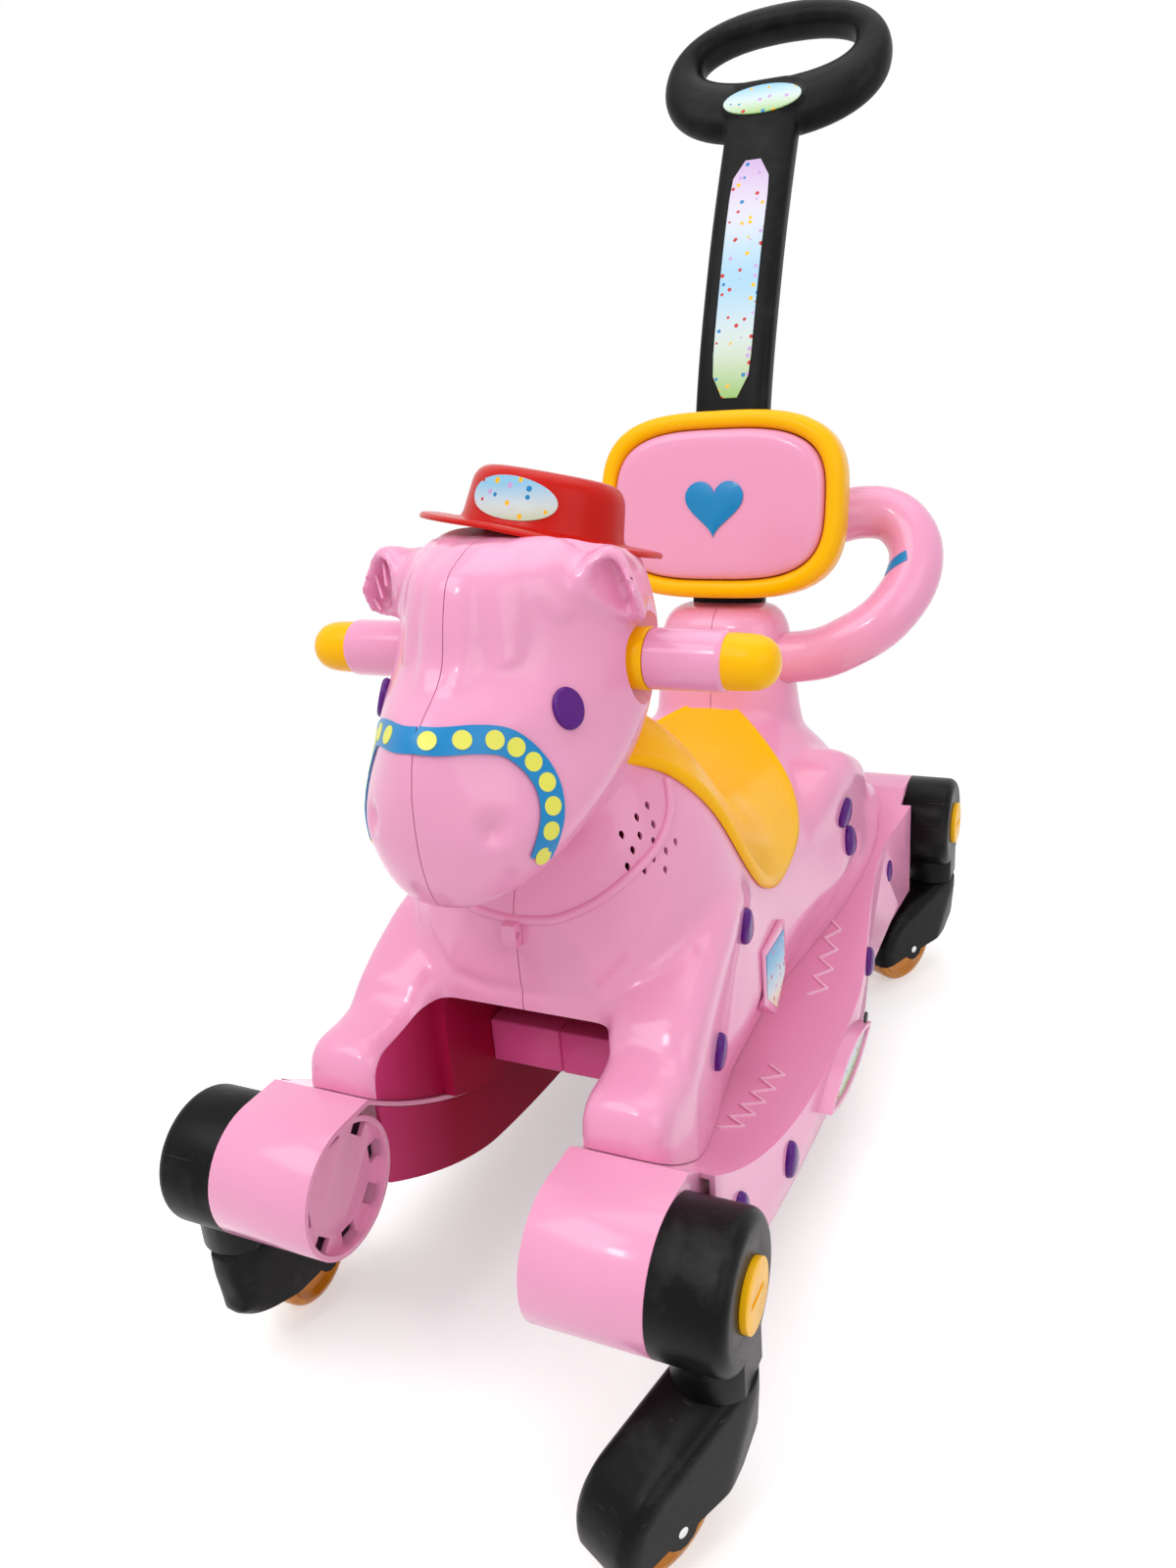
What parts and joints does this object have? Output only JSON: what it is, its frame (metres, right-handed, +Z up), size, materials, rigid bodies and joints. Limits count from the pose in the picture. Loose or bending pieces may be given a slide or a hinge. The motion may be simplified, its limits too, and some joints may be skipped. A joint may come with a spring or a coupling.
{
  "type": "ride on rocking horse with fold up caster legs",
  "caption": "Child's ride on horse on rockers, with caster legs that fold up, a saddle, handlebar, backrest, guard rails and a push bar with a loop handle.",
  "frame": {"origin": "middle of the bounding box on the floor under the wheels", "axes": "+Z up, the horse faces -Y, +X is its left side"},
  "size_m": [0.32, 0.7372, 0.7621],
  "materials": {
    "shell_pink": "glossy blow moulded pink plastic",
    "saddle_yellow": "glossy yellow plastic",
    "hat_red": "glossy red plastic",
    "band_blue": "printed blue film",
    "spot_purple": "glossy purple plastic",
    "plate_pale": "pale film plate",
    "bar_black": "satin black plastic",
    "leg_black": "scuffed satin black plastic",
    "pin_steel": "zinc plated steel",
    "wheel_amber": "translucent amber plastic"
  },
  "bodies": {
    "horse": {"body_left": "shell_pink", "body_right": "shell_pink", "saddle": "saddle_yellow", "rocker_left": "shell_pink", "rocker_right": "shell_pink", "cross_bar": "shell_pink", "hat": "hat_red", "hat_label": "plate_pale", "handlebar": "saddle_yellow", "grip_left": "shell_pink", "grip_right": "shell_pink", "bar_cap_left": "saddle_yellow", "bar_cap_right": "saddle_yellow", "eye_left": "spot_purple", "eye_right": "spot_purple", "noseband": "band_blue", "body_spots": "spot_purple", "rocker_spots": "spot_purple", "rocker_label_left": "plate_pale", "rocker_label_right": "plate_pale", "body_label_left": "shell_pink", "body_label_right": "shell_pink", "backrest_frame": "saddle_yellow", "backrest_panel": "shell_pink", "backrest_heart": "band_blue", "guard_rail_left": "shell_pink", "guard_rail_right": "shell_pink", "push_bar": "bar_black", "push_bar_strip": "plate_pale", "push_bar_oval": "plate_pale", "speaker": "bar_black", "battery_box": "bar_black", "pull_eye": "shell_pink"},
    "leg_front_left": {"hub_front_left": "leg_black", "hub_cap_front_left": "saddle_yellow"},
    "caster_front_left": {"fork_front_left": "leg_black", "stem_front_left": "pin_steel", "axle_front_left": "pin_steel"},
    "roller_front_left": {"wheel_front_left": "wheel_amber"},
    "leg_front_right": {"hub_front_right": "leg_black", "hub_cap_front_right": "saddle_yellow"},
    "caster_front_right": {"fork_front_right": "leg_black", "stem_front_right": "pin_steel", "axle_front_right": "pin_steel"},
    "roller_front_right": {"wheel_front_right": "wheel_amber"},
    "leg_rear_left": {"hub_rear_left": "leg_black", "hub_cap_rear_left": "saddle_yellow"},
    "caster_rear_left": {"fork_rear_left": "leg_black", "stem_rear_left": "pin_steel", "axle_rear_left": "pin_steel"},
    "roller_rear_left": {"wheel_rear_left": "wheel_amber"},
    "leg_rear_right": {"hub_rear_right": "leg_black", "hub_cap_rear_right": "saddle_yellow"},
    "caster_rear_right": {"fork_rear_right": "leg_black", "stem_rear_right": "pin_steel", "axle_rear_right": "pin_steel"},
    "roller_rear_right": {"wheel_rear_right": "wheel_amber"}
  },
  "joints": [
    {"name": "fold_front_left", "type": "hinge", "parent": "horse", "child": "leg_front_left", "pos_m": [0.139, -0.29264, 0.13], "axis": [1, 0, 0], "range_deg": [-135, 0]},
    {"name": "swivel_front_left", "type": "hinge", "parent": "leg_front_left", "child": "caster_front_left", "pos_m": [0.139, -0.29264, 0.075], "axis": [0, 0, 1], "continuous": true},
    {"name": "roll_front_left", "type": "hinge", "parent": "caster_front_left", "child": "roller_front_left", "pos_m": [0.12015, -0.33129, 0.031], "axis": [0.8988, -0.4384, 0], "continuous": true},
    {"name": "fold_front_right", "type": "hinge", "parent": "horse", "child": "leg_front_right", "pos_m": [-0.139, -0.29264, 0.13], "axis": [1, 0, 0], "range_deg": [-135, 0]},
    {"name": "swivel_front_right", "type": "hinge", "parent": "leg_front_right", "child": "caster_front_right", "pos_m": [-0.139, -0.29264, 0.075], "axis": [0, 0, 1], "continuous": true},
    {"name": "roll_front_right", "type": "hinge", "parent": "caster_front_right", "child": "roller_front_right", "pos_m": [-0.13975, -0.24965, 0.031], "axis": [-0.9998, -0.0175, 0], "continuous": true},
    {"name": "fold_rear_left", "type": "hinge", "parent": "horse", "child": "leg_rear_left", "pos_m": [0.139, 0.27336, 0.13], "axis": [1, 0, 0], "range_deg": [0, 135]},
    {"name": "swivel_rear_left", "type": "hinge", "parent": "leg_rear_left", "child": "caster_rear_left", "pos_m": [0.139, 0.27336, 0.075], "axis": [0, 0, 1], "continuous": true},
    {"name": "roll_rear_left", "type": "hinge", "parent": "caster_rear_left", "child": "roller_rear_left", "pos_m": [0.1175, 0.23612, 0.031], "axis": [0.866, -0.5, 0], "continuous": true},
    {"name": "fold_rear_right", "type": "hinge", "parent": "horse", "child": "leg_rear_right", "pos_m": [-0.139, 0.27336, 0.13], "axis": [1, 0, 0], "range_deg": [0, 135]},
    {"name": "swivel_rear_right", "type": "hinge", "parent": "leg_rear_right", "child": "caster_rear_right", "pos_m": [-0.139, 0.27336, 0.075], "axis": [0, 0, 1], "continuous": true},
    {"name": "roll_rear_right", "type": "hinge", "parent": "caster_rear_right", "child": "roller_rear_right", "pos_m": [-0.12289, 0.23349, 0.031], "axis": [0.9272, 0.3746, 0], "continuous": true}
  ]
}
